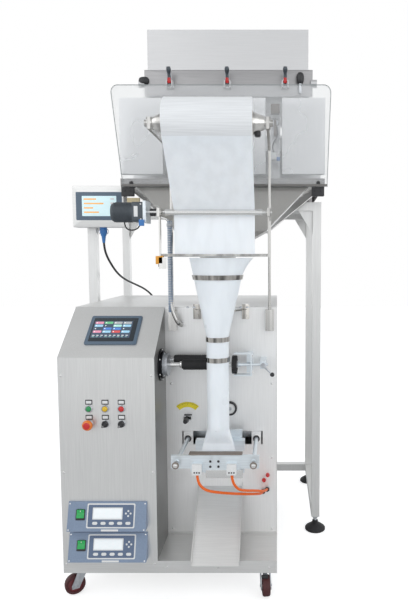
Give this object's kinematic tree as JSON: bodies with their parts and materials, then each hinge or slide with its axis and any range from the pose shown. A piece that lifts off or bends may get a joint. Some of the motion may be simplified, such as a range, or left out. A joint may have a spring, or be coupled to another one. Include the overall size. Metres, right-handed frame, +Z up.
{
  "type": "vertical form fill sealer with linear weigher",
  "caption": "Vertical form fill sealing machine on casters, with a linear weigher on its own square-tube stand, film roll rack, forming tube and sealing jaws.",
  "frame": {"origin": "on the floor, below the middle of the whole machine", "axes": "+X to the right along the front, +Y from the front to the back, +Z up"},
  "size_m": [1.184, 1.446, 2.42],
  "materials": {
    "brushed_stainless": "brushed, fine horizontal grain",
    "bay_stainless": "fine brushed",
    "zinc_plate": "zinc plated",
    "polished_steel": "ground and polished",
    "machined_aluminium": "milled",
    "black_rubber": "matt",
    "wheel_tread": "matt",
    "black_plastic": "fine texture",
    "slate_plastic": "fine texture",
    "controller_blue": "fine texture",
    "green_plastic": "gloss",
    "yellow_plastic": "gloss",
    "red_plastic": "gloss",
    "motor_grey": "satin",
    "film": "satin film",
    "clear_acrylic": "clear",
    "orange_sleeve": "silicone"
  },
  "bodies": {
    "root": {"base_frame": "brushed_stainless", "bay_back_panel": "bay_stainless", "button_bezels": "black_plastic", "cabinet_shell": "brushed_stainless", "console_shell": "brushed_stainless", "discharge_chute": "brushed_stainless", "discharge_funnel": "brushed_stainless", "feeder_unit": "brushed_stainless", "film_motor": "motor_grey", "film_rack": "polished_steel", "film_web": "film", "former_hoops": "polished_steel", "forming_tube": "brushed_stainless", "guard_panel": "clear_acrylic", "heater_cables": "orange_sleeve", "panel_cable": "black_rubber", "press_wheel_yoke": "machined_aluminium", "pull_unit_flange": "zinc_plate", "rear_cover": "brushed_stainless", "seal_controllers": "controller_blue", "stand_feet": "black_rubber", "stand_frame": "brushed_stainless", "storage_hopper": "brushed_stainless", "touch_screen": "slate_plastic", "weigh_buckets": "bay_stainless", "weigher_base": "brushed_stainless", "weigher_panel": "slate_plastic"},
    "button_green": {"button_green": "green_plastic"},
    "button_yellow": {"button_yellow": "yellow_plastic"},
    "button_red": {"button_red": "red_plastic"},
    "emergency_stop": {"emergency_stop": "red_plastic"},
    "selector_left": {"selector_left": "black_plastic"},
    "selector_right": {"selector_right": "black_plastic"},
    "rocker_lower": {"rocker_lower": "green_plastic"},
    "rocker_upper": {"rocker_upper": "green_plastic"},
    "front_left_fork": {"front_left_caster_fork": "zinc_plate"},
    "front_left_wheel": {"front_left_caster_wheel": "wheel_tread"},
    "front_right_fork": {"front_right_caster_fork": "zinc_plate"},
    "front_right_wheel": {"front_right_caster_wheel": "wheel_tread"},
    "rear_left_fork": {"rear_left_caster_fork": "zinc_plate"},
    "rear_left_wheel": {"rear_left_caster_wheel": "wheel_tread"},
    "rear_right_fork": {"rear_right_caster_fork": "zinc_plate"},
    "rear_right_wheel": {"rear_right_caster_wheel": "wheel_tread"},
    "front_jaw": {"front_jaw": "machined_aluminium"},
    "rear_jaw": {"rear_jaw": "machined_aluminium"},
    "pull_roller": {"pull_roller": "black_rubber"},
    "pinch_roller": {"pinch_roller": "black_rubber"},
    "press_wheel": {"press_wheel": "black_rubber"},
    "clamp_lever": {"clamp_lever": "zinc_plate"},
    "scale_lever": {"scale_lever": "black_plastic"},
    "film_roll": {"film_roll": "film", "roll_shaft": "machined_aluminium"},
    "feed_roller": {"feed_roller": "polished_steel"},
    "clamp_left": {"clamp_left": "zinc_plate"},
    "clamp_middle": {"clamp_middle": "zinc_plate"},
    "clamp_right": {"clamp_right": "zinc_plate"},
    "bucket_door_1": {"bucket_door_1": "bay_stainless"},
    "bucket_door_2": {"bucket_door_2": "bay_stainless"},
    "bucket_door_3": {"bucket_door_3": "bay_stainless"},
    "bucket_door_4": {"bucket_door_4": "bay_stainless"}
  },
  "joints": [
    {"name": "button_green_press", "type": "slide", "parent": "root", "child": "button_green", "axis": [0, 1, 0], "range_m": [0, 0.004], "stiffness_N_per_m": 400},
    {"name": "button_yellow_press", "type": "slide", "parent": "root", "child": "button_yellow", "axis": [0, 1, 0], "range_m": [0, 0.004], "stiffness_N_per_m": 400},
    {"name": "button_red_press", "type": "slide", "parent": "root", "child": "button_red", "axis": [0, 1, 0], "range_m": [0, 0.004], "stiffness_N_per_m": 400},
    {"name": "emergency_stop_press", "type": "slide", "parent": "root", "child": "emergency_stop", "axis": [0, 1, 0], "range_m": [0, 0.005]},
    {"name": "selector_left_turn", "type": "hinge", "parent": "root", "child": "selector_left", "pos_m": [-0.3085, -0.488, 0.713], "axis": [0, 1, 0], "range_deg": [0, 90]},
    {"name": "selector_right_turn", "type": "hinge", "parent": "root", "child": "selector_right", "pos_m": [-0.246, -0.488, 0.713], "axis": [0, 1, 0], "range_deg": [0, 90]},
    {"name": "rocker_lower_switch", "type": "hinge", "parent": "root", "child": "rocker_lower", "pos_m": [-0.408, -0.49723, 0.238], "axis": [1, 0, 0], "range_deg": [0, 12]},
    {"name": "rocker_upper_switch", "type": "hinge", "parent": "root", "child": "rocker_upper", "pos_m": [-0.408, -0.49723, 0.362], "axis": [1, 0, 0], "range_deg": [0, 12]},
    {"name": "front_left_swivel", "type": "hinge", "parent": "root", "child": "front_left_fork", "pos_m": [-0.44, -0.422, 0.112], "axis": [0, 0, 1], "continuous": true},
    {"name": "front_left_roll", "type": "hinge", "parent": "front_left_fork", "child": "front_left_wheel", "pos_m": [-0.46296, -0.43421, 0.04], "axis": [0.4695, -0.8829, 0], "continuous": true},
    {"name": "front_right_swivel", "type": "hinge", "parent": "root", "child": "front_right_fork", "pos_m": [0.304, -0.422, 0.112], "axis": [0, 0, 1], "continuous": true},
    {"name": "front_right_roll", "type": "hinge", "parent": "front_right_fork", "child": "front_right_wheel", "pos_m": [0.30762, -0.44775, 0.04], "axis": [0.9903, 0.1392, 0], "continuous": true},
    {"name": "rear_left_swivel", "type": "hinge", "parent": "root", "child": "rear_left_fork", "pos_m": [-0.44, 0.351, 0.112], "axis": [0, 0, 1], "continuous": true},
    {"name": "rear_left_roll", "type": "hinge", "parent": "rear_left_fork", "child": "rear_left_wheel", "pos_m": [-0.44, 0.377, 0.04], "axis": [-1, 0, 0], "continuous": true},
    {"name": "rear_right_swivel", "type": "hinge", "parent": "root", "child": "rear_right_fork", "pos_m": [0.304, 0.351, 0.112], "axis": [0, 0, 1], "continuous": true},
    {"name": "rear_right_roll", "type": "hinge", "parent": "rear_right_fork", "child": "rear_right_wheel", "pos_m": [0.304, 0.377, 0.04], "axis": [-1, 0, 0], "continuous": true},
    {"name": "jaw_close", "type": "slide", "parent": "root", "child": "front_jaw", "axis": [0, 1, 0], "range_m": [0, 0.055]},
    {"name": "rear_jaw_close", "type": "slide", "parent": "root", "child": "rear_jaw", "axis": [0, 1, 0], "range_m": [-0.055, 0]},
    {"name": "pull_spin", "type": "hinge", "parent": "root", "child": "pull_roller", "pos_m": [0.12, -0.3615, 0.92], "axis": [1, 0, 0], "continuous": true},
    {"name": "pinch_spin", "type": "hinge", "parent": "root", "child": "pinch_roller", "pos_m": [0.12, -0.3175, 0.932], "axis": [1, 0, 0], "continuous": true},
    {"name": "press_wheel_spin", "type": "hinge", "parent": "root", "child": "press_wheel", "pos_m": [0.181, -0.3615, 0.92], "axis": [1, 0, 0], "continuous": true},
    {"name": "clamp_lever_turn", "type": "hinge", "parent": "root", "child": "clamp_lever", "pos_m": [0.296, -0.3755, 0.92], "axis": [0, 1, 0], "range_deg": [-60, 40]},
    {"name": "scale_lever_slide", "type": "slide", "parent": "root", "child": "scale_lever", "axis": [1, 0, 0], "range_m": [-0.01, 0.01]},
    {"name": "unwind", "type": "hinge", "parent": "root", "child": "film_roll", "pos_m": [0.12, -0.638, 1.808], "axis": [1, 0, 0], "continuous": true},
    {"name": "feed_spin", "type": "hinge", "parent": "root", "child": "feed_roller", "pos_m": [0.12, -0.512, 1.517], "axis": [1, 0, 0], "continuous": true},
    {"name": "clamp_left_open", "type": "hinge", "parent": "root", "child": "clamp_left", "pos_m": [-0.15, 0.078, 2.162], "axis": [1, 0, 0], "range_deg": [0, 85]},
    {"name": "clamp_middle_open", "type": "hinge", "parent": "root", "child": "clamp_middle", "pos_m": [0.12, 0.078, 2.162], "axis": [1, 0, 0], "range_deg": [0, 85]},
    {"name": "clamp_right_open", "type": "hinge", "parent": "root", "child": "clamp_right", "pos_m": [0.39, 0.078, 2.162], "axis": [1, 0, 0], "range_deg": [0, 85]},
    {"name": "bucket_door_1_drop", "type": "hinge", "parent": "root", "child": "bucket_door_1", "pos_m": [0.12, 0.097, 1.837], "axis": [1, 0, 0], "range_deg": [0, 25]},
    {"name": "bucket_door_2_drop", "type": "hinge", "parent": "root", "child": "bucket_door_2", "pos_m": [0.12, 0.097, 1.837], "axis": [1, 0, 0], "range_deg": [0, 25]},
    {"name": "bucket_door_3_drop", "type": "hinge", "parent": "root", "child": "bucket_door_3", "pos_m": [0.12, 0.097, 1.837], "axis": [1, 0, 0], "range_deg": [0, 25]},
    {"name": "bucket_door_4_drop", "type": "hinge", "parent": "root", "child": "bucket_door_4", "pos_m": [0.12, 0.097, 1.837], "axis": [1, 0, 0], "range_deg": [0, 25]}
  ],
  "couplings": [
    {"joint": "rear_jaw_close", "follows": "jaw_close", "ratio": -1},
    {"joint": "pinch_spin", "follows": "pull_spin", "ratio": -1.1}
  ]
}
